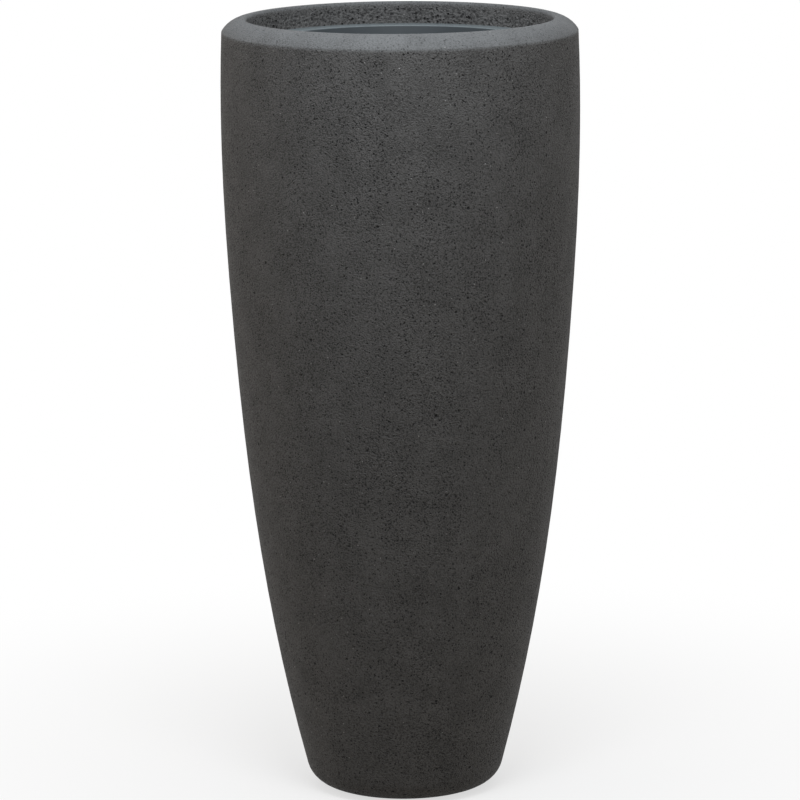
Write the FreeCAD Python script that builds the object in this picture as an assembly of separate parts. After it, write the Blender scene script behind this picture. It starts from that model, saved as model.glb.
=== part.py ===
"""Tall round planter of glass fibre with a stone-effect finish, in millimetres.

The axis of the planter is Z, and Z = 0 is the floor that it stands on.  A tapered
outer shell stands on four rubber pads and holds a cast weight in its foot.  Its thick
rim is closed on the inside by a bonded collar, whose ledge carries the flange of a
lift-out liner.  The liner and the shell each have a drain with a rubber plug.
"""
import FreeCAD, Part
import os
from math import asin, cos, radians, sin, sqrt

Vector = FreeCAD.Vector
AXIS = Vector(0, 0, 1)
ORIGIN = Vector(0, 0, 0)

# ---- Overall form ----------------------------------------------------------------
height = 1000.0                 # floor to the top of the rim
belly_radius = 228.4            # widest part of the wall
belly_drop = 115.0              # from the rim's top down to the widest part
foot_radius = 93.2              # flat part of the foot, inside its rounded corner
foot_corner_round = 35.0
foot_flare = 14.8               # degrees the wall leans out where it leaves the foot
flank_low_handle = 350.0        # how far up the flank holds the foot's lean
flank_waist_inset = 22.1        # middle pole of the flank, in from the belly
flank_waist_drop = 286.0        # middle pole of the flank, down from the belly
flank_high_handle = 225.0       # how far down from the belly the flank holds upright
shell_wall = 6.0
shell_floor = 9.0

# ---- Rim: a crowned band that slopes up from a soft crease to the mouth --------------
rim_width = 31.3                # from the crease in to the mouth
crease_inset = 2.1              # from the belly in to the crease
crease_drop = 16.4              # from the rim's top down to the crease
crease_round = 4.0
band_round = 34.0               # radius of the band's crown
lip_round = 4.0                 # where the band turns down into the mouth
lip_depth = 9.0                 # height of the shell's edge in the mouth

# ---- Foot: recess, drain and pads ------------------------------------------------------
foot_recess_radius = 58.0
foot_recess_depth = 3.5
base_drain_radius = 12.0
pad_count = 4
pad_circle_radius = 76.0
pad_radius = 12.0
pad_height = 5.0
pad_stand_out = 2.0             # how far a pad stands out below the foot
pad_clearance = 0.2             # round a pad in its pocket
pad_edge_chamfer = 1.0

# ---- Collar: the mouth's inner wall and the ledge that carries the liner --------------
collar_wall = 5.0
collar_bond_gap = 3.0           # from the bonding flange's edge to the shell's wall
ledge_skirt = 14.0              # from the ledge's top to the foot of its turned-down lip
ledge_nose_round = 4.0
ledge_corner_round = 3.0

# ---- Liner: lift-out bucket --------------------------------------------------------------
flange_drop = 28.0              # from the rim's top down to the flange's top
flange_side_gap = 5.0           # round the flange, inside the mouth
flange_width = 24.0
flange_thickness = 3.0
flange_edge_round = 1.2
liner_mouth_round = 1.5         # where the flange turns down into the bucket
flange_root_round = 3.0         # under the flange, where it meets the bucket's side
liner_wall = 2.6
liner_ledge_gap = 6.4           # from the liner's wall to the ledge's edge
liner_depth = 320.0             # flange's top to the liner's underside
liner_base_radius = 146.0       # where the side would meet the underside unrounded
liner_corner_round = 24.0
liner_drain_radius = 8.0
sump_radius = 26.0              # thick pad in the floor, round the drain
sump_height = 5.0
rib_count = 8                   # radial ribs that a grow pot stands on
rib_height = 12.0
rib_width = 5.0
rib_round = 1.2
rib_sump_gap = 8.0              # from the sump to the ribs' inner ends
rib_corner_gap = 10.0           # from the ribs' outer ends to the corner's rounding
grip_length = 84.0              # hand slots under the flange, on the left and right
grip_height = 22.0
grip_drop = 18.0                # from the flange's top to the slots' upper edge
grip_rim_width = 5.0            # thickened border round a slot
grip_rim_height = 1.6

# ---- Rubber plugs -------------------------------------------------------------------------
plug_clearance = 0.3            # round a plug's stem
plug_taper = 1.0                # how much a stem narrows on its way down
plug_reach = 1.5                # how far a stem comes through its hole
plug_overlap = 7.0              # how far a head covers the floor round its hole
plug_head = 5.0
plug_knob_radius = 5.0
plug_knob_height = 9.0
plug_chamfer = 1.5

# ---- Ballast --------------------------------------------------------------------------------
ballast_height = 62.0
ballast_well_radius = 34.0      # well that leaves the base plug free
ballast_gap = 0.5               # bed of adhesive round the ballast
ballast_chamfer = 3.0

# ---- Places that follow from the sizes above ------------------------------------------------
foot_z = pad_stand_out
inner_floor_z = foot_z + shell_floor
belly_z = height - belly_drop
crease_radius = belly_radius - crease_inset
crease_z = height - crease_drop
mouth_radius = crease_radius - rim_width
lip_foot_z = height - lip_depth
flange_top_z = height - flange_drop
ledge_z = flange_top_z - flange_thickness
flange_outer_radius = mouth_radius - flange_side_gap
flange_inner_radius = flange_outer_radius - flange_width
ledge_radius = flange_inner_radius + liner_wall + liner_ledge_gap
liner_bottom_z = flange_top_z - liner_depth
liner_floor_z = liner_bottom_z + liner_wall
liner_lean = (flange_inner_radius + liner_wall - liner_base_radius) / (ledge_z - liner_bottom_z)


def point(x, z):
    """A point of the half section, at radius x and height z."""
    return Vector(x, 0, z)


def circles_meet(centre_a, radius_a, centre_b, radius_b):
    """The two points where circles of the half section cross, the lower one first."""
    between = centre_b - centre_a
    distance = between.Length
    along = (radius_a ** 2 - radius_b ** 2 + distance ** 2) / (2 * distance)
    aside = sqrt(radius_a ** 2 - along ** 2)
    forward = between / distance
    left = point(-forward.z, forward.x)
    crossings = [centre_a + forward * along + left * aside * turn for turn in (1, -1)]
    return sorted(crossings, key=lambda crossing: crossing.z)


class Section:
    """Half section beside the Z axis, drawn edge by edge and then turned into a solid."""

    def __init__(self, x, z):
        self.start = point(x, z)
        self.here = self.start
        self.edges = []

    def line(self, x, z):
        end = point(x, z)
        if end.distanceToPoint(self.here) > 1e-6:
            self.edges.append(Part.LineSegment(self.here, end).toShape())
            self.here = end
        return self

    def arc(self, centre, end):
        """Arc about a centre, the short way round to its end."""
        radius = centre.distanceToPoint(self.here)
        bulge = (self.here - centre) + (end - centre)
        middle = centre + bulge * (radius / bulge.Length)
        self.edges.append(Part.Arc(self.here, middle, end).toShape())
        self.here = end
        return self

    def curve(self, poles):
        """Smooth curve from here, guided by its poles."""
        bezier = Part.BezierCurve()
        bezier.setPoles([self.here] + poles)
        self.edges.append(bezier.toShape())
        self.here = poles[-1]
        return self

    def corners(self, *stops):
        """Straight runs from stop to stop; a third number in a stop rounds its corner."""
        for stop, after in zip(stops, stops[1:] + (None,)):
            x, z, *rounding = stop
            if not rounding:
                self.line(x, z)
                continue
            corner = point(x, z)
            back = (self.here - corner).normalize()
            onward = (point(after[0], after[1]) - corner).normalize()
            half_angle = back.getAngle(onward) / 2
            middle_way = (back + onward).normalize()
            centre = corner + middle_way * (rounding[0] / sin(half_angle))
            setback = rounding[0] * cos(half_angle) / sin(half_angle)
            begin = corner + back * setback
            self.line(begin.x, begin.z)
            self.arc(centre, corner + onward * setback)
        return self

    def turn(self):
        """Close the section and turn it once round the axis."""
        self.line(self.start.x, self.start.z)
        face = Part.Face(Part.Wire(self.edges))
        return face.revolve(ORIGIN, AXIS, 360)


def ring_edges(solid, radius, z):
    """Circular edges about the axis with this radius and height."""
    found = []
    for edge in solid.Edges:
        curve = edge.Curve
        if isinstance(curve, Part.Circle):
            if abs(curve.Radius - radius) < 0.01 and abs(curve.Center.z - z) < 0.01:
                found.append(edge)
    return found


def disc(radius, low, high):
    """Plain cylinder on the axis between two heights."""
    return Part.makeCylinder(radius, high - low, point(0, low))


def round_the_axis(solid, count, first_angle):
    """Equally spaced copies of a solid round the axis."""
    copies = []
    for index in range(count):
        copy = solid.copy()
        copy.rotate(ORIGIN, AXIS, first_angle + index * 360 / count)
        copies.append(copy)
    return copies


# ---- The shell's wall, shared by the shell and what lies against its inside -----------------
shoulder_round = ((crease_z - belly_z) ** 2 + crease_inset ** 2) / (2 * crease_inset)
shoulder_centre = point(belly_radius - shoulder_round, belly_z)
crease = point(crease_radius, crease_z)
lip_centre = point(mouth_radius + lip_round, height - lip_round)
foot_centre = point(foot_radius, foot_z + foot_corner_round)
# the crown starts at the crease and runs smoothly into the lip
band_centre = circles_meet(lip_centre, band_round - lip_round, crease, band_round)[0]


def wall_section(inset, floor_z):
    """Section from the axis out along the floor and up the wall, this far inside it."""
    corner = foot_corner_round - inset
    corner_low = -asin((foot_centre.z - floor_z) / corner)
    corner_high = -radians(foot_flare)
    low_end = foot_centre + point(cos(corner_low), sin(corner_low)) * corner
    high_end = foot_centre + point(cos(corner_high), sin(corner_high)) * corner
    lean = point(sin(-corner_high), cos(corner_high))
    waist = point(belly_radius - flank_waist_inset - inset, belly_z - flank_waist_drop)
    belly = point(belly_radius - inset, belly_z)
    section = Section(0, floor_z)
    section.line(low_end.x, low_end.z)
    section.arc(foot_centre, high_end)
    section.curve([high_end + lean * flank_low_handle, waist,
                   belly - AXIS * flank_high_handle, belly])
    return section


def inner_crease():
    """Where the wall's inside meets the band's underside."""
    return circles_meet(shoulder_centre, shoulder_round - shell_wall,
                        band_centre, band_round - shell_wall)[1]


def under_band(radius, z):
    """Point at height z on a circle of this radius about the band's centre."""
    return point(band_centre.x + sqrt(radius ** 2 - (z - band_centre.z) ** 2), z)


def shell_cavity():
    """The hollow inside the shell, up to the foot of its lip."""
    section = wall_section(shell_wall, inner_floor_z)
    section.arc(shoulder_centre, inner_crease())
    section.arc(band_centre, under_band(band_round - shell_wall, lip_foot_z))
    section.line(0, lip_foot_z)
    return section.turn()


def pad_places():
    """Centres of the pads, midway between the X and Y directions."""
    centre = Vector(pad_circle_radius, 0, 0)
    turn = FreeCAD.Rotation(AXIS, 180 / pad_count)
    step = FreeCAD.Rotation(AXIS, 360 / pad_count)
    places = [turn.multVec(centre)]
    while len(places) < pad_count:
        places.append(step.multVec(places[-1]))
    return places


def make_outer_shell():
    """Tapered shell with its rounded foot, soft crease, crowned rim band and lip."""
    section = wall_section(0, foot_z)
    section.arc(shoulder_centre, crease)
    band_end = lip_centre + (lip_centre - band_centre).normalize() * lip_round
    section.arc(band_centre, band_end)
    section.arc(lip_centre, point(mouth_radius, height - lip_round))
    section.line(mouth_radius, lip_foot_z)
    section.line(0, lip_foot_z)
    body = section.turn()
    body = body.makeFillet(crease_round, ring_edges(body, crease_radius, crease_z))
    body = body.cut(shell_cavity())

    recess = Section(0, foot_z - 1)
    recess.corners((foot_recess_radius + foot_recess_depth + 1, foot_z - 1),
                   (foot_recess_radius, foot_z + foot_recess_depth),
                   (0, foot_z + foot_recess_depth))
    body = body.cut(recess.turn())
    body = body.cut(disc(base_drain_radius, 0, inner_floor_z + 1))
    for place in pad_places():
        pocket = Part.makeCylinder(pad_radius + pad_clearance, pad_height, place)
        body = body.cut(pocket)
    return body


def make_mouth_collar():
    """Bonded moulding: flange under the band, wall of the mouth, ledge and skirt."""
    bond_top = band_round - shell_wall
    bond_under = bond_top - collar_wall
    edge_reach = inner_crease().x - collar_bond_gap - band_centre.x
    edge_top = band_centre + point(edge_reach, sqrt(bond_top ** 2 - edge_reach ** 2))
    edge_under = band_centre + (edge_top - band_centre) * (bond_under / bond_top)
    skirt_foot_z = ledge_z - ledge_skirt
    back_radius = mouth_radius + collar_wall
    skirt_back = ledge_radius + collar_wall
    under_ledge_z = ledge_z - collar_wall
    under_flange = under_band(bond_under, lip_foot_z - collar_wall)

    section = Section(mouth_radius, lip_foot_z)
    top_end = under_band(bond_top, lip_foot_z)
    section.line(top_end.x, top_end.z)
    section.arc(band_centre, edge_top)
    section.line(edge_under.x, edge_under.z)
    section.arc(band_centre, under_flange)
    section.corners((back_radius, under_flange.z, ledge_nose_round),
                    (back_radius, under_ledge_z, ledge_corner_round + collar_wall),
                    (skirt_back, under_ledge_z, ledge_corner_round),
                    (skirt_back, skirt_foot_z),
                    (ledge_radius, skirt_foot_z),
                    (ledge_radius, ledge_z, ledge_nose_round),
                    (mouth_radius, ledge_z, ledge_corner_round),
                    (mouth_radius, lip_foot_z))
    return section.turn()


def liner_rib():
    """One radial rib on the liner's floor, along +X, with its top edges rounded."""
    inner = sump_radius + rib_sump_gap
    outer = liner_base_radius - liner_corner_round - rib_corner_gap
    corner = Vector(inner, -rib_width / 2, liner_floor_z - liner_wall / 2)
    rib = Part.makeBox(outer - inner, rib_width, rib_height + liner_wall / 2, corner)
    top = rib.BoundBox.ZMax
    top_edges = [edge for edge in rib.Edges if edge.BoundBox.ZMin > top - 0.01]
    return rib.makeFillet(rib_round, top_edges)


def slot_bar(length, height_across, depth, start_x, centre_z):
    """Bar along X with fully rounded ends, as long as the slot and as high."""
    half = length / 2 - height_across / 2
    low = centre_z - height_across / 2
    high = centre_z + height_across / 2
    lower = Part.LineSegment(Vector(start_x, -half, low), Vector(start_x, half, low))
    right = Part.Arc(lower.EndPoint, Vector(start_x, length / 2, centre_z),
                     Vector(start_x, half, high))
    upper = Part.LineSegment(right.EndPoint, Vector(start_x, -half, high))
    left = Part.Arc(upper.EndPoint, Vector(start_x, -length / 2, centre_z), lower.StartPoint)
    wire = Part.Wire([piece.toShape() for piece in (lower, right, upper, left)])
    return Part.Face(wire).extrude(Vector(depth, 0, 0))


def liner_body(inset):
    """The bucket below its flange as a closed solid, this far inside its outer side."""
    low = liner_bottom_z + inset
    base = liner_base_radius - inset + liner_lean * inset
    top = flange_inner_radius + liner_wall - inset
    section = Section(0, low)
    section.corners((base, low, liner_corner_round - inset), (top, ledge_z), (0, ledge_z))
    return section.turn()


def make_liner():
    """Bucket with a flat flange, hand slots, a ribbed floor and a drain."""
    base = liner_base_radius
    inner_base = base - liner_wall + liner_lean * liner_wall
    section = Section(0, liner_bottom_z)
    section.corners((base, liner_bottom_z, liner_corner_round),
                    (flange_inner_radius + liner_wall, ledge_z, flange_root_round),
                    (flange_outer_radius, ledge_z, flange_edge_round),
                    (flange_outer_radius, flange_top_z, flange_edge_round),
                    (flange_inner_radius, flange_top_z, liner_mouth_round),
                    (inner_base, liner_floor_z, liner_corner_round - liner_wall),
                    (0, liner_floor_z))
    liner = section.turn()

    slot_z = flange_top_z - grip_drop - grip_height / 2
    wide = 2 * flange_outer_radius
    border = slot_bar(grip_length + 2 * grip_rim_width, grip_height + 2 * grip_rim_width,
                      wide, -wide / 2, slot_z)
    proud = liner_body(-grip_rim_height).common(border).cut(liner_body(liner_wall / 2))
    liner = liner.fuse(proud)
    liner = liner.fuse(disc(sump_radius, liner_bottom_z, liner_bottom_z + sump_height))
    for rib in round_the_axis(liner_rib(), rib_count, 180 / rib_count):
        liner = liner.fuse(rib)
    liner = liner.cut(slot_bar(grip_length, grip_height, wide, -wide / 2, slot_z))
    liner = liner.cut(disc(liner_drain_radius, liner_bottom_z - 1, flange_top_z))
    return liner.removeSplitter()


def rubber_plug(hole_radius, seat_z, hole_depth):
    """Plug for a drain: tapered stem, flat head on the seat and a knob to pull."""
    stem_radius = hole_radius - plug_clearance
    foot = seat_z - hole_depth - plug_reach
    head_radius = hole_radius + plug_overlap
    head_z = seat_z + plug_head
    knob_z = head_z + plug_knob_height
    section = Section(0, foot)
    section.corners((stem_radius - plug_taper - plug_chamfer, foot),
                    (stem_radius - plug_taper, foot + plug_chamfer),
                    (stem_radius, seat_z),
                    (head_radius, seat_z),
                    (head_radius, head_z - plug_chamfer),
                    (head_radius - plug_chamfer, head_z),
                    (plug_knob_radius, head_z),
                    (plug_knob_radius, knob_z - plug_chamfer),
                    (plug_knob_radius - plug_chamfer, knob_z),
                    (0, knob_z))
    return section.turn()


def make_ballast():
    """Weight cast to the shape of the foot, with a well over the base plug."""
    inset = shell_wall + ballast_gap
    foot = wall_section(inset, inner_floor_z)
    foot.line(0, belly_z)
    top = inner_floor_z + ballast_height
    weight = foot.turn().common(disc(belly_radius, inner_floor_z, top))
    rim = max(weight.Edges, key=lambda edge: edge.BoundBox.ZMin * edge.BoundBox.XLength)
    weight = weight.makeChamfer(ballast_chamfer, [rim])
    return weight.cut(disc(ballast_well_radius, 0, top + 1))


def foot_pad(place):
    """Round rubber pad glued into its pocket in the foot."""
    section = Section(0, 0)
    section.corners((pad_radius - pad_edge_chamfer, 0), (pad_radius, pad_edge_chamfer),
                    (pad_radius, pad_height), (0, pad_height))
    pad = section.turn()
    pad.translate(place)
    return pad


def save(name, shape):
    """Write one sub-part and say what it is."""
    solids = len(shape.Solids)
    box = shape.optimalBoundingBox()
    print(f"{name}: valid {shape.isValid()}, solids {solids}, volume {shape.Volume:.0f} mm3, "
          f"z {box.ZMin:.2f} to {box.ZMax:.2f}, across {box.XLength:.2f}")
    shape.exportStep(f"parts/{name}.step")


os.makedirs("parts", exist_ok=True)
save("outer_shell", make_outer_shell())
save("mouth_collar", make_mouth_collar())
save("liner", make_liner())
save("liner_plug", rubber_plug(liner_drain_radius, liner_bottom_z + sump_height, sump_height))
base_hole_depth = shell_floor - foot_recess_depth
save("base_plug", rubber_plug(base_drain_radius, inner_floor_z, base_hole_depth))
save("ballast", make_ballast())
for number, pad_place in enumerate(pad_places(), start=1):
    save(f"foot_pad_{number}", foot_pad(pad_place))
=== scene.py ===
# %% [markdown]
# # A tall stone-effect planter
#
# The planter is a glass-fibre shell with a pitted stone coat.  Its thick rim slopes up to
# the mouth, and inside the mouth a collar carries a smooth plastic liner.  The CAD frame
# holds every piece at its real size.  This lesson turns the two stone-effect pieces again
# as fine meshes, gives each piece its finish, and lights them as in a studio.

# %% Load the frame
import math
import bmesh
import bpy
from mathutils import Matrix, Vector, noise


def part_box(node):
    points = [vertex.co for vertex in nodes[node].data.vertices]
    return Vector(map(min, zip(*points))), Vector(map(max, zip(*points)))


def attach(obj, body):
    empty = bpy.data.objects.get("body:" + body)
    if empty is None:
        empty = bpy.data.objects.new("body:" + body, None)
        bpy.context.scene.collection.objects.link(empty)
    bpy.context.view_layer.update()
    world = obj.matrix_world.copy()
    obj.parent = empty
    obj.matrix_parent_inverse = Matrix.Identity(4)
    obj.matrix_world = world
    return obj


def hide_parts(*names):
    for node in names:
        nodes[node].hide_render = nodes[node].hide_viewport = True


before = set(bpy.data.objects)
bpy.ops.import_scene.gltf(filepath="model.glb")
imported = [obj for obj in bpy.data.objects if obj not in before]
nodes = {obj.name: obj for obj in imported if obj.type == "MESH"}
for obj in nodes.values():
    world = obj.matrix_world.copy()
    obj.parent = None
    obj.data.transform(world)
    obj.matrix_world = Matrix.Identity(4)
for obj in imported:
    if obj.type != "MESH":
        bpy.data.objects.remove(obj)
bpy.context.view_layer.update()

# %% [markdown]
# ## Camera
#
# A long lens far away keeps the sides of a tall pot nearly parallel.  The camera stands
# well above the rim and looks down, so that the mouth shows as a thin ellipse.  It is
# set up from its place, its tilt and a slight roll, as a camera on a tripod is.

# %% The camera
CAMERA_PLACE = (-0.0032, -5.6, 1.587)
CAMERA_TILT = math.radians(10.926)     # below the horizon
CAMERA_ROLL = math.radians(-0.41)
LEVEL = math.radians(90)               # from straight down, where a new camera looks
LENS = 199.35                          # millimetres, on Blender's 36 mm sensor

camera = bpy.data.objects.new("camera", bpy.data.cameras.new("camera"))
camera.data.lens = LENS
camera.location = CAMERA_PLACE
tilted = Matrix.Rotation(LEVEL - CAMERA_TILT, 3, "X")
rolled = Matrix.Rotation(CAMERA_ROLL, 3, "Z")
camera.rotation_euler = (tilted @ rolled).to_euler()
bpy.context.scene.collection.objects.link(camera)
bpy.context.scene.camera = camera
print("camera tilt and lens:", round(math.degrees(CAMERA_TILT), 2), LENS)

# %% [markdown]
# ## Turning a piece
#
# Everything here but the hand slots and ribs is round, so a piece can be made as a
# potter does: take its half section and spin it.  The section doesn't have to be drawn
# again, because the CAD piece already has it: a plane through the axis cuts its mesh,
# everything off the plane is cleared away, and the outline of the cut is what is left.

# %% Cut a half section out of a CAD piece
MERGE = 0.00001                        # metres between points that count as one


def half_section(node):
    """Outline of the node's cut face at y = 0, on the +X side, as a bmesh of edges."""
    section = bmesh.new()
    section.from_mesh(nodes[node].data)
    bmesh.ops.remove_doubles(section, verts=section.verts, dist=MERGE)
    everything = section.verts[:] + section.edges[:] + section.faces[:]
    bmesh.ops.bisect_plane(section, geom=everything, dist=MERGE, plane_co=(0, 0, 0),
                           plane_no=(0, 1, 0), clear_inner=True, clear_outer=True)
    far_side = [vert for vert in section.verts if vert.co.x < 0]
    bmesh.ops.delete(section, geom=far_side, context="VERTS")
    print(node, "section:", len(section.verts), "points,", len(section.edges), "edges")
    return section


# %% Spin a section and make it an object
SHARP = math.radians(38)               # faces that meet at a larger angle keep a crisp edge


def finished_piece(name, shape, body, node):
    """Give a bmesh smooth faces with crisp corners, an object and a body, and hide its CAD
    node.
    """
    for face in shape.faces:
        face.smooth = True
    for edge in shape.edges:
        edge.smooth = edge.calc_face_angle(0) < SHARP
    mesh = bpy.data.meshes.new(name)
    shape.to_mesh(mesh)
    shape.free()
    piece = bpy.data.objects.new(name, mesh)
    bpy.context.scene.collection.objects.link(piece)
    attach(piece, body)
    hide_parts(node)
    print(name, "has", len(mesh.polygons), "faces")
    return piece


def turned_piece(name, section, steps, body, node):
    """Spin a section all the way round, and dress it in place of its CAD node."""
    bmesh.ops.spin(section, geom=section.verts[:] + section.edges[:], cent=(0, 0, 0),
                   axis=(0, 0, 1), angle=math.tau, steps=steps, use_merge=True)
    bmesh.ops.remove_doubles(section, verts=section.verts, dist=MERGE)
    bmesh.ops.recalc_face_normals(section, faces=section.faces)
    return finished_piece(name, section, body, node)


# %% [markdown]
# ## Shell
#
# The shell is one laminate, 6 mm thick, from the foot to the lip.  Long straight edges of
# its section are divided first, so that no face of the tall wall is a long sliver.

# %% Divide the long edges of a section
def divide_long_edges(section, longest, where=lambda edge: True):
    """Cut each edge of the section that is longer than this into equal parts."""
    for edge in list(section.edges):
        cuts = math.ceil(edge.calc_length() / longest) - 1
        if cuts > 0 and where(edge):
            bmesh.ops.subdivide_edges(section, edges=[edge], cuts=cuts)


# %% Turn the shell
SHELL_STEPS = 240
SHELL_EDGE = 0.012

shell_section = half_section("outer_shell")
divide_long_edges(shell_section, SHELL_EDGE)
shell_skin = turned_piece("shell_skin", shell_section, SHELL_STEPS,
                          "planter", "outer_shell")

# %% [markdown]
# ## Collar
#
# The wall of the mouth has the coarsest stone coat: open pits of 1 to 4 mm, of which the
# large ones show from across a room.  They are modelled.  The wall's part of the section
# is divided to less than 1.5 mm, the piece is spun in steps nearly as fine, and then its
# points are pushed back into the wall wherever a scattered pit lies.

# %% Turn the collar
COLLAR_STEPS = 720
COLLAR_EDGE = 0.02
WALL_EDGE = 0.0014

collar_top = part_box("mouth_collar")[1].z
lip_radius = min(vert.co.xy.length for vert in nodes["outer_shell"].data.vertices
                 if vert.co.z > collar_top - MERGE)
print("mouth radius:", round(lip_radius, 4))


def on_mouth_wall(edge):
    """True if both ends of a section's edge lie on the visible wall of the mouth."""
    return all(abs(vert.co.x - lip_radius) < MERGE for vert in edge.verts)


collar_section = half_section("mouth_collar")
divide_long_edges(collar_section, WALL_EDGE, on_mouth_wall)
divide_long_edges(collar_section, COLLAR_EDGE)
collar_skin = turned_piece("collar_skin", collar_section, COLLAR_STEPS,
                           "planter", "mouth_collar")

# %% Press the pits into the mouth's wall
PIT_CELL = 0.0042                      # one possible pit in each cell of this size
PIT_SMALLEST = 0.0007                  # radius
PIT_LARGEST = 0.0024
PIT_DEPTH = 0.0014
PIT_STEEPNESS = 1.6                    # above 1, a pit has a flat bottom
LOT_SPREAD = 7.3                       # takes neighbouring cells to different lots


def pit_depth(place):
    """From 0 outside the pits to 1 at the bottom of one, at a place on the wall."""
    distances, centres = noise.voronoi(place / PIT_CELL)
    lot = noise.cell(centres[0] * LOT_SPREAD) / 2 + 0.5
    radius = PIT_SMALLEST + lot * (PIT_LARGEST - PIT_SMALLEST)
    return max(0.0, min(1.0, PIT_STEEPNESS * (1 - distances[0] * PIT_CELL / radius)))


pressed = 0
wall_pits = collar_skin.data.attributes.new("pit", "FLOAT", "POINT")
for vert in collar_skin.data.vertices:
    if abs(vert.co.xy.length - lip_radius) < MERGE:
        depth = pit_depth(vert.co)
        outward = vert.co.xy.normalized().to_3d()
        vert.co += outward * PIT_DEPTH * depth
        wall_pits.data[vert.index].value = depth
        pressed += depth > 0
print("points pressed into pits:", pressed)

# %% [markdown]
# ## Shader maths as expressions
#
# A procedural finish is a sum: this noise times that mask, plus a constant.  Written
# out, such sums are easy to read, while a list of nodes and links isn't.  The class here
# wraps a socket, and Python's operators add the Math nodes.  Colours and vectors go
# through Mix and Vector Math, because a Math node turns a colour grey.

# %% A socket that can be used in sums
class Wire:
    """An output socket of a shader node that + - * / and some functions work on."""

    def __init__(self, graph, socket):
        self.graph = graph
        self.socket = socket

    def math(self, operation, *values):
        """A number worked out from others."""
        return self.graph.node("ShaderNodeMath", {"operation": operation}, *values)[0]

    def vector_math(self, operation, *values):
        """A vector or a number worked out from vectors."""
        return self.graph.node("ShaderNodeVectorMath", {"operation": operation}, *values)[0]

    def __add__(self, other):
        return self.math("ADD", self, other)

    def __radd__(self, other):
        return self.math("ADD", other, self)

    def __sub__(self, other):
        return self.math("SUBTRACT", self, other)

    def __rsub__(self, other):
        return self.math("SUBTRACT", other, self)

    def __mul__(self, other):
        return self.math("MULTIPLY", self, other)

    def __rmul__(self, other):
        return self.math("MULTIPLY", other, self)

    def __truediv__(self, other):
        return self.math("DIVIDE", self, other)

    def at_least(self, other):
        """This value or the other, whichever is larger."""
        return self.math("MAXIMUM", self, other)

    def at_most(self, other):
        """This value or the other, whichever is smaller."""
        return self.math("MINIMUM", self, other)

    def above(self, edge, width):
        """0 below the edge, 1 above it, with a smooth step of this width between."""
        step = {"interpolation_type": "SMOOTHSTEP", "clamp": True}
        return self.graph.node("ShaderNodeMapRange", step, self,
                               edge - width / 2, edge + width / 2)["Result"]

    def scaled(self, factors):
        """This vector with each axis multiplied by its own factor."""
        return self.vector_math("MULTIPLY", self, factors)

    def shifted(self, other):
        """This vector moved by another vector."""
        return self.vector_math("ADD", self, other)

    def length(self):
        """The length of this vector."""
        return self.vector_math("LENGTH", self)

    def part(self, axis):
        """The X, Y or Z of this vector."""
        return self.graph.node("ShaderNodeSeparateXYZ", {}, self)[axis]


class Outputs:
    """The outputs of a new node, by name or number, each as a Wire."""

    def __init__(self, graph, made):
        self.graph = graph
        self.made = made

    def __getitem__(self, key):
        ready = [socket for socket in self.made.outputs if socket.enabled]
        if isinstance(key, int):
            return Wire(self.graph, ready[key])
        return Wire(self.graph, next(socket for socket in ready if socket.name == key))


# %% A node tree and a material
class Graph:
    """The node tree of a material or of the sky, and the way to add nodes to it."""

    def __init__(self, tree):
        self.tree = tree

    def node(self, kind, settings, *values, **named):
        """Add a node: its settings first, then its sockets in order or by name."""
        made = self.tree.nodes.new(kind)
        for setting, value in settings.items():
            setattr(made, setting, value)
        free = [socket for socket in made.inputs if socket.enabled]
        for socket, value in zip(free, values):
            self.feed(socket, value)
        for key, value in named.items():
            self.feed(made.inputs[key.replace("_", " ")], value)
        return Outputs(self, made)

    def feed(self, socket, value):
        """Link a wire to a socket, or set the socket's own value."""
        if isinstance(value, Wire):
            self.tree.links.new(value.socket, socket)
        else:
            socket.default_value = value

    def seen(self):
        """1 for a camera's ray and for mirror-like rays, 0 for the light that is scattered."""
        path = self.node("ShaderNodeLightPath", {})
        rays = path["Is Camera Ray"] + path["Is Glossy Ray"] + path["Is Transmission Ray"]
        return rays.at_most(1.0)


class Finish(Graph):
    """A new material with a principled shader."""

    def __init__(self, name):
        self.material = bpy.data.materials.new(name)
        self.material.use_nodes = True
        super().__init__(self.material.node_tree)
        self.shader = self.tree.nodes["Principled BSDF"]
        self.place = self.node("ShaderNodeTexCoord", {})["Object"]

    def mix(self, factor, low, high):
        """Colour between two colours."""
        mixed = self.node("ShaderNodeMix", {"data_type": "RGBA"}, factor, low, high)
        return mixed["Result"]

    def noise(self, place, size, detail, roughness):
        """Cloudy noise from 0 to 1 whose blotches are about this many metres across."""
        return self.node("ShaderNodeTexNoise", {}, place, Scale=1 / size,
                         Detail=detail, Roughness=roughness)["Fac"]

    def bump(self, height, depth=1.0):
        """Normal for a height; height 1 stands for this many metres."""
        return self.node("ShaderNodeBump", {}, Height=height, Distance=depth,
                         Strength=1.0)["Normal"]

    def surface(self, **sockets):
        """Feed the principled shader's sockets by name."""
        for key, value in sockets.items():
            self.feed(self.shader.inputs[key.replace("_", " ")], value)
        return self.material


print("shader helpers are ready")

# %% [markdown]
# ## Stone coat
#
# The coat is a stone-filled resin that is cast against a mould.  Air leaves pits in it: a
# dense spread of pinholes and fewer of 2 or 3 mm, crowded in loose zones that run down
# the wall.  Fine grains of stone show as pale specks.  Each layer of pits is a Voronoi
# pattern whose cells draw their own pit size, so that large pits are fewer than small.
# The dark tone inside the pits is partly dirt and partly painted shade in their hollows.

# %% One layer of pits
DARK_FROM = 0.6                        # depth at which a pit is fully dark, in smallest radii


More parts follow.
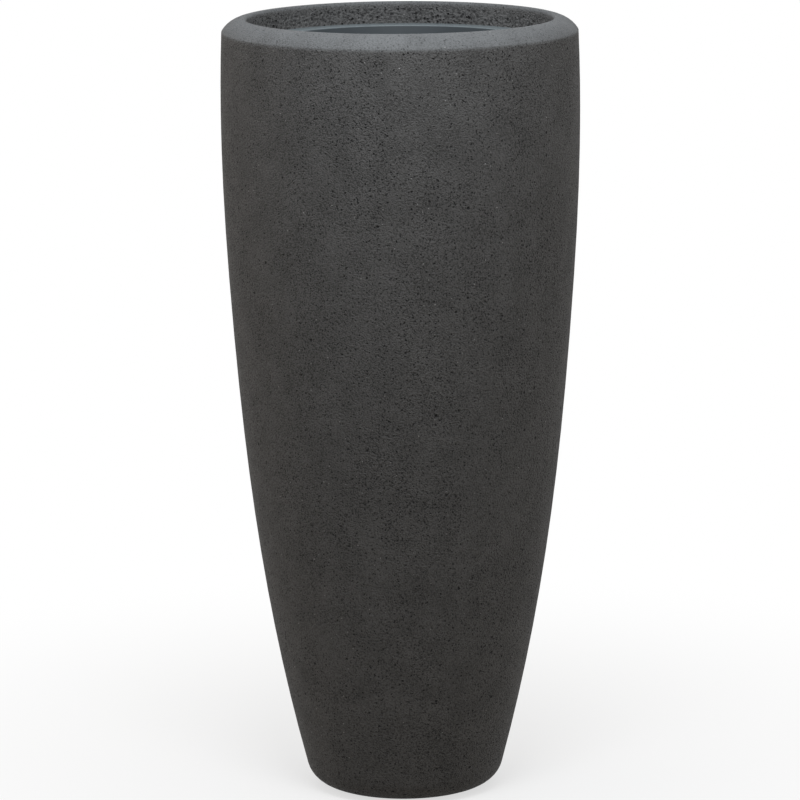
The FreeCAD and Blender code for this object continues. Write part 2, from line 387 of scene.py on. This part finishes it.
class Pits:
    """One Voronoi layer of cone-shaped pits, of which each cell has one or none."""

    def __init__(self, finish, place, cell, smallest, largest, share):
        cells = finish.node("ShaderNodeTexVoronoi", {"feature": "F1"}, place, Scale=1 / cell)
        lot = finish.node("ShaderNodeSeparateColor", {}, cells["Color"])["Red"]
        drawn = (lot - (1 - share)) / share
        radius = (smallest + (largest - smallest) * drawn) * drawn.above(edge=0.0, width=0.01)
        self.depth = (radius - cells["Distance"] * cell).at_least(0.0)
        self.mask = self.depth.above(DARK_FROM / 2 * smallest, DARK_FROM * smallest)


# %% [markdown]
# The coat isn't the same all over.  Above the crease, the rim's sloping band is rubbed
# smooth and paler, and pits thin out on the way up to it.  The side that faces the mouth
# stays rough, and a little paler than the wall.  Three masks from 0 to 1 hold all this,
# made from nothing but height and distance from the axis.

# %% Zones of the coat
CREASE_Z = 0.982                       # above it the rim's band is rubbed smooth
NOWHERE_Z = 2.0                        # above the whole planter: a coat that is all rough
LIP_ROUGH_RADIUS = 0.1995              # inside this radius, and below this height, the
LIP_ROUGH_Z = 0.9962                   # lip is as pitted as the mouth's wall
MOUTH_FOOT_Z = 0.94                    # below it, a small radius is the outer wall's foot


def coat_zones(place, smooth_above):
    """Masks: rubbed smooth, turned to the mouth, and sparse in pits."""
    height = place.part("Z")
    outside = place.scaled((1.0, 1.0, 0.0)).length().above(LIP_ROUGH_RADIUS, width=0.002)
    rubbed = outside.at_least(height.above(LIP_ROUGH_Z, width=0.005))
    smooth = height.above(smooth_above, width=0.006) * rubbed
    inside = (1 - outside) * height.above(MOUTH_FOOT_Z, width=0.005)
    sparse = height.above(smooth_above - 0.012, width=0.03)
    return smooth, inside, sparse


# %% [markdown]
# Three layers of pits lie over one another, and a fine grain lies between them.  A small
# sideways sway, from noise, keeps the outlines of pits and grains from being round.

# %% Pits and grain of the coat
SWAY_WAVES = 420.0                     # per metre
SWAY = 0.0016                          # metres, sideways
ZONE = 0.05                            # metres across one crowded zone
ZONE_STRETCH = (1.0, 1.0, 0.4)         # zones are taller than wide
THINNED = 0.75                         # how much less crowded the sparse part is
GRAIN = 0.0020                         # metres across one grain of the coat
PIT_LAYERS = [
    # cell, smallest and largest radius in metres; share of cells with a pit, and what a
    # crowded zone adds to it; darkness
    (0.0035, 0.0006, 0.0013, 0.45, 0.50, 0.90),
    (0.0052, 0.0008, 0.0016, 0.25, 0.60, 0.95),
    (0.0140, 0.0014, 0.0024, 0.10, 0.30, 0.95),
]
MARK_LEVEL = 0.43                      # grain below this level makes a faint dark mark
MARK_DARKNESS = 0.20
MARK_CROWDED = 0.25                    # added to it in a crowded zone
# the pressed pits are darkened, partly as dirt and partly as painted shade in their hollows
PRESSED_DARKNESS = 0.85                # of the pits that are pressed into the mesh
SMOOTH_CLEARED = 0.45                  # share of the marks that rubbing takes away


def coat_texture(coat, coarse, smooth, sparse):
    """Grain, share of the pits' dark tone of dirt and painted shade, and depth below the
    surface in metres.
    """
    waves = coat.node("ShaderNodeTexNoise", {}, coat.place, Scale=SWAY_WAVES, Detail=1.0)
    swayed = coat.place.shifted(waves["Color"].scaled((SWAY, SWAY, SWAY)))
    zones = coat.noise(coat.place.scaled(ZONE_STRETCH), ZONE, detail=3.0, roughness=0.6)
    crowd = zones.above(edge=0.5, width=0.3) * (1 - THINNED * sparse)
    grain = coat.noise(swayed, GRAIN * coarse, detail=1.5, roughness=0.5)
    marks = 1 - grain.above(MARK_LEVEL, width=0.12)
    clear = 1 - marks * (MARK_DARKNESS + MARK_CROWDED * crowd)
    sunk = 0.0
    for cell, smallest, largest, share, crowded, darkness in PIT_LAYERS:
        pits = Pits(coat, swayed, cell * coarse, smallest, largest * coarse,
                    share + crowded * crowd)
        # each pit's dark tone: partly dirt, partly painted shade in the hollow
        clear = clear * (1 - darkness * pits.mask)
        sunk = sunk + pits.depth
    pressed_in = coat.node("ShaderNodeAttribute", {"attribute_name": "pit"})["Fac"]
    pitted = 1 - clear * (1 - PRESSED_DARKNESS * pressed_in)
    return grain, pitted * (1 - SMOOTH_CLEARED * smooth), sunk


# %% The stone coat
# dark tone of the pits: partly dirt, partly painted shade in their hollows
PIT_DIRT_AND_SHADE_TONE = (0.014, 0.014, 0.015, 1)
COAT_LOW = (0.057, 0.057, 0.057, 1)
COAT_HIGH = (0.103, 0.103, 0.104, 1)
# the band's paler tone is its smoother finish; its blue tint is painted light, cool like the
# light falling on it from above
SMOOTH_LOW = (0.105, 0.109, 0.113, 1)
SMOOTH_HIGH = (0.150, 0.156, 0.162, 1)
SPECK_TONE = (0.34, 0.34, 0.34, 1)
SPECK_SHIFT = (0.4, 0.1, 0.7)          # so that specks don't follow the pits' cells
SPECK_SHARE = 0.6                      # of the speck's own tone over the coat's
PALER_INSIDE = (1.35, 1.35, 1.35)      # times the coat's tone, on the mouth's side
GRAIN_SHARE = 0.6                      # of the coat's light and dark; clouds have the rest
PIT_SHARE = 0.9                        # of the pits' tone over the coat's
PIT_SLOPE = 1.2                        # of a pit's sides
GRAIN_RELIEF = 0.0019                  # metres, of which the grain uses about a third
SMOOTH_FLATTER = 0.6                   # share of the relief that rubbing takes away


def stone_coat(name, coarse, smooth_above):
    """Pitted grey stone coat; coarse is 1 on the shell and more in the mouth."""
    coat = Finish(name)
    smooth, inside, sparse = coat_zones(coat.place, smooth_above)
    grain, pitted, sunk = coat_texture(coat, coarse, smooth, sparse)
    cloud = coat.noise(coat.place, 0.04, detail=4.0, roughness=0.6)
    tone = (grain * GRAIN_SHARE + cloud * (1 - GRAIN_SHARE)).above(edge=0.5, width=0.4)
    rough_stone = coat.mix(tone, COAT_LOW, COAT_HIGH)
    rough_stone = coat.mix(inside, rough_stone, rough_stone.scaled(PALER_INSIDE))
    # painted light: the band's colour carries the cool tint of the light from above
    smooth_stone = coat.mix(tone, SMOOTH_LOW, SMOOTH_HIGH)
    stone = coat.mix(smooth, rough_stone, smooth_stone)
    specks = Pits(coat, coat.place.shifted(SPECK_SHIFT), cell=0.007,
                  smallest=0.0003, largest=0.0010, share=0.3)
    stone = coat.mix(specks.mask * SPECK_SHARE, stone, SPECK_TONE)
    colour = coat.mix(pitted * PIT_SHARE, stone, PIT_DIRT_AND_SHADE_TONE)
    relief = grain * (GRAIN_RELIEF * coarse) - sunk * PIT_SLOPE
    return coat.surface(Base_Color=colour, Roughness=0.7 + 0.2 * pitted,
                        Specular_IOR_Level=0.15,
                        Normal=coat.bump(relief * (1 - SMOOTH_FLATTER * smooth)))


shell_coat = stone_coat("stone_coat", coarse=1.0, smooth_above=CREASE_Z)
mouth_coat = stone_coat("coarse_stone_coat", coarse=1.6, smooth_above=NOWHERE_Z)
for skin, coat in ((shell_skin, shell_coat), (collar_skin, mouth_coat)):
    skin.data.materials.append(coat)
    print(skin.name, "wears", coat.name, "with", len(coat.node_tree.nodes), "nodes")

# %% [markdown]
# ## Plastic, rubber and concrete
#
# The smaller pieces keep their CAD meshes, which are already true, and get a finish of
# their own: satin moulded plastic on the liner, with painted light on top of its flange,
# matt rubber on the plugs and pads, and cast concrete on the weight in the foot.

# %% Finishes of the CAD pieces
FLANGE_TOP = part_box("liner")[1].z
PLASTIC_LOW = (0.042, 0.051, 0.058, 1)
PLASTIC_HIGH = (0.056, 0.067, 0.076, 1)
# painted light: the flange's top is drawn paler and bluer, standing in for the cool light that
# falls on it from above
FLANGE_PAINTED_LIGHT_TONE = (0.140, 0.168, 0.182, 1)
RUBBER_TONE = (0.018, 0.018, 0.019, 1)
SCUFF_TONE = (0.05, 0.05, 0.048, 1)
CONCRETE_LOW = (0.30, 0.29, 0.27, 1)
CONCRETE_HIGH = (0.46, 0.45, 0.42, 1)
HOLE_TONE = (0.12, 0.115, 0.105, 1)


def liner_plastic():
    """Blue-grey satin plastic with a faint moulded grain, and painted light on top of the
    flange.
    """
    plastic = Finish("liner_plastic")
    grain = plastic.noise(plastic.place, 0.0008, detail=2.0, roughness=0.5)
    flow = plastic.noise(plastic.place, 0.06, detail=3.0, roughness=0.5)
    on_flange = plastic.place.part("Z").above(FLANGE_TOP - 0.0012, width=0.001)
    colour = plastic.mix(flow, PLASTIC_LOW, PLASTIC_HIGH)
    # painted light: the top of the flange is mixed towards a pale, cool tone, as the light
    # from above would show it
    colour = plastic.mix(on_flange * (0.7 + 0.3 * grain), colour, FLANGE_PAINTED_LIGHT_TONE)
    return plastic.surface(Base_Color=colour, Roughness=0.42 + 0.12 * flow,
                           Normal=plastic.bump(grain, depth=0.00004))


def rubber(name):
    """Matt black rubber with dust and scuffs."""
    made = Finish(name)
    scuff = made.noise(made.place, 0.004, detail=4.0, roughness=0.7)
    colour = made.mix(scuff.above(edge=0.55, width=0.3), RUBBER_TONE, SCUFF_TONE)
    return made.surface(Base_Color=colour, Roughness=0.7 + 0.2 * scuff,
                        Normal=made.bump(scuff, depth=0.0001))


def concrete():
    """Rough cast concrete with air holes."""
    cast = Finish("cast_concrete")
    holes = Pits(cast, cast.place, cell=0.012, smallest=0.001, largest=0.003, share=0.4)
    sand = cast.noise(cast.place, 0.0015, detail=3.0, roughness=0.6)
    stain = cast.noise(cast.place, 0.05, detail=4.0, roughness=0.6)
    colour = cast.mix(sand * 0.5 + stain * 0.5, CONCRETE_LOW, CONCRETE_HIGH)
    colour = cast.mix(holes.mask * 0.7, colour, HOLE_TONE)
    return cast.surface(Base_Color=colour, Roughness=0.9,
                        Normal=cast.bump(sand * 0.0004 - holes.depth))


def dress(names, material):
    """Put a material on CAD pieces without touching their meshes."""
    for name in names:
        for slot in nodes[name].material_slots:
            slot.link = "OBJECT"
            slot.material = material
        print(name, "wears", material.name)


dress(["liner"], liner_plastic())
dress(["liner_plug", "base_plug"], rubber("plug_rubber"))
dress([name for name in nodes if name.startswith("foot_pad")], rubber("pad_rubber"))
dress(["ballast"], concrete())

# %% [markdown]
# ## Floor and light
#
# The planter stands on a plain floor.  The camera should see a white ground with the
# planter's soft shadow near the foot, while what bounces off the floor onto the wall
# should stay weak.  Light Path tells the two apart: rays from the camera and mirror-like
# rays see white, and diffuse rays see a warm grey.

# %% The floor
FLOOR_SIZE = 60.0
FLOOR_WHITE = (0.93, 0.93, 0.93, 1)
FLOOR_BOUNCE = (0.34, 0.29, 0.23, 1)
SHADOW_REACH = 0.7                     # metres from the axis, where the shadow half fades
SHADOW_FADE = 1.0                      # metres over which it fades
SHADOW_DEPTH = 0.35                    # share of the floor's look that is really lit


def floor_finish():
    """White for the camera beyond the shadow's reach, grey for the light it throws back."""
    ground = Finish("floor")
    seen = ground.seen()
    colour = ground.mix(seen, FLOOR_BOUNCE, FLOOR_WHITE)
    ground.surface(Base_Color=colour, Roughness=0.9, Specular_IOR_Level=0.0)
    lit = Wire(ground, ground.shader.outputs[0])
    glow = ground.node("ShaderNodeEmission", {}, Color=(1, 1, 1, 1), Strength=1.0)
    far = ground.place.length().above(SHADOW_REACH, SHADOW_FADE)
    white = (1 - SHADOW_DEPTH * (1 - far)) * seen
    shown = ground.node("ShaderNodeMixShader", {}, white, lit, glow["Emission"])["Shader"]
    ground.feed(ground.tree.nodes["Material Output"].inputs["Surface"], shown)
    return ground.material


floor_shape = bmesh.new()
bmesh.ops.create_grid(floor_shape, x_segments=1, y_segments=1, size=FLOOR_SIZE / 2)
floor_mesh = bpy.data.meshes.new("floor")
floor_shape.to_mesh(floor_mesh)
floor_shape.free()
floor = bpy.data.objects.new("floor", floor_mesh)
bpy.context.scene.collection.objects.link(floor)
floor.data.materials.append(floor_finish())
print("floor is", FLOOR_SIZE, "m wide")

# %% [markdown]
# The light comes from a soft sky that is brightest overhead, with some from both sides.
# A key lamp above the front, a warm lamp far off to the left and a weaker one to the
# right model the round wall.

# %% The sky
def studio_sky(flat, rise, left, right):
    """Light from all round, from above and from both sides; a camera sees plain white."""
    world = bpy.data.worlds.new("studio")
    bpy.context.scene.world = world
    world.use_nodes = True
    sky = Graph(world.node_tree)
    seen = sky.seen()
    ray = sky.node("ShaderNodeTexCoord", {})["Generated"]
    to_left = (ray.part("X") * -1.0).at_least(0.0)
    to_right = ray.part("X").at_least(0.0)
    light = flat + rise * ray.part("Z").at_least(0.0)
    light = light + left * to_left * to_left + right * to_right * to_right
    background = sky.tree.nodes["Background"]
    sky.feed(background.inputs["Strength"], seen + (1 - seen) * light)
    sky.feed(background.inputs["Color"], (1, 1, 1, 1))
    print("sky gives", flat, "all round,", rise, "more overhead")


studio_sky(flat=0.06, rise=0.82, left=0.22, right=0.08)


# %% Lamps
def soft_lamp(name, place, aim, size, power, colour):
    """Square area lamp at a place, turned towards a point to aim at."""
    lamp = bpy.data.objects.new(name, bpy.data.lights.new(name, "AREA"))
    lamp.data.size = size
    lamp.data.energy = power
    lamp.data.color = colour
    lamp.location = place
    lamp.rotation_euler = (Vector(aim) - lamp.location).to_track_quat("-Z", "Y").to_euler()
    bpy.context.scene.collection.objects.link(lamp)
    print(name, "gives", power, "W")


soft_lamp("front_key", place=(0.0, -0.9, 1.85), aim=(0, 0, 0.95), size=0.6,
          power=14.5, colour=(0.95, 0.98, 1.0))
soft_lamp("left_warm", place=(-3.0, 1.2, 0.9), aim=(0, 0, 0.5), size=1.6,
          power=11.0, colour=(1.0, 0.78, 0.58))
soft_lamp("right_soft", place=(3.0, 0.6, 0.9), aim=(0, 0, 0.5), size=1.6,
          power=5.0, colour=(1.0, 0.90, 0.80))

# %% Standard colours
bpy.context.scene.view_settings.view_transform = "Standard"
print("view transform:", bpy.context.scene.view_settings.view_transform)
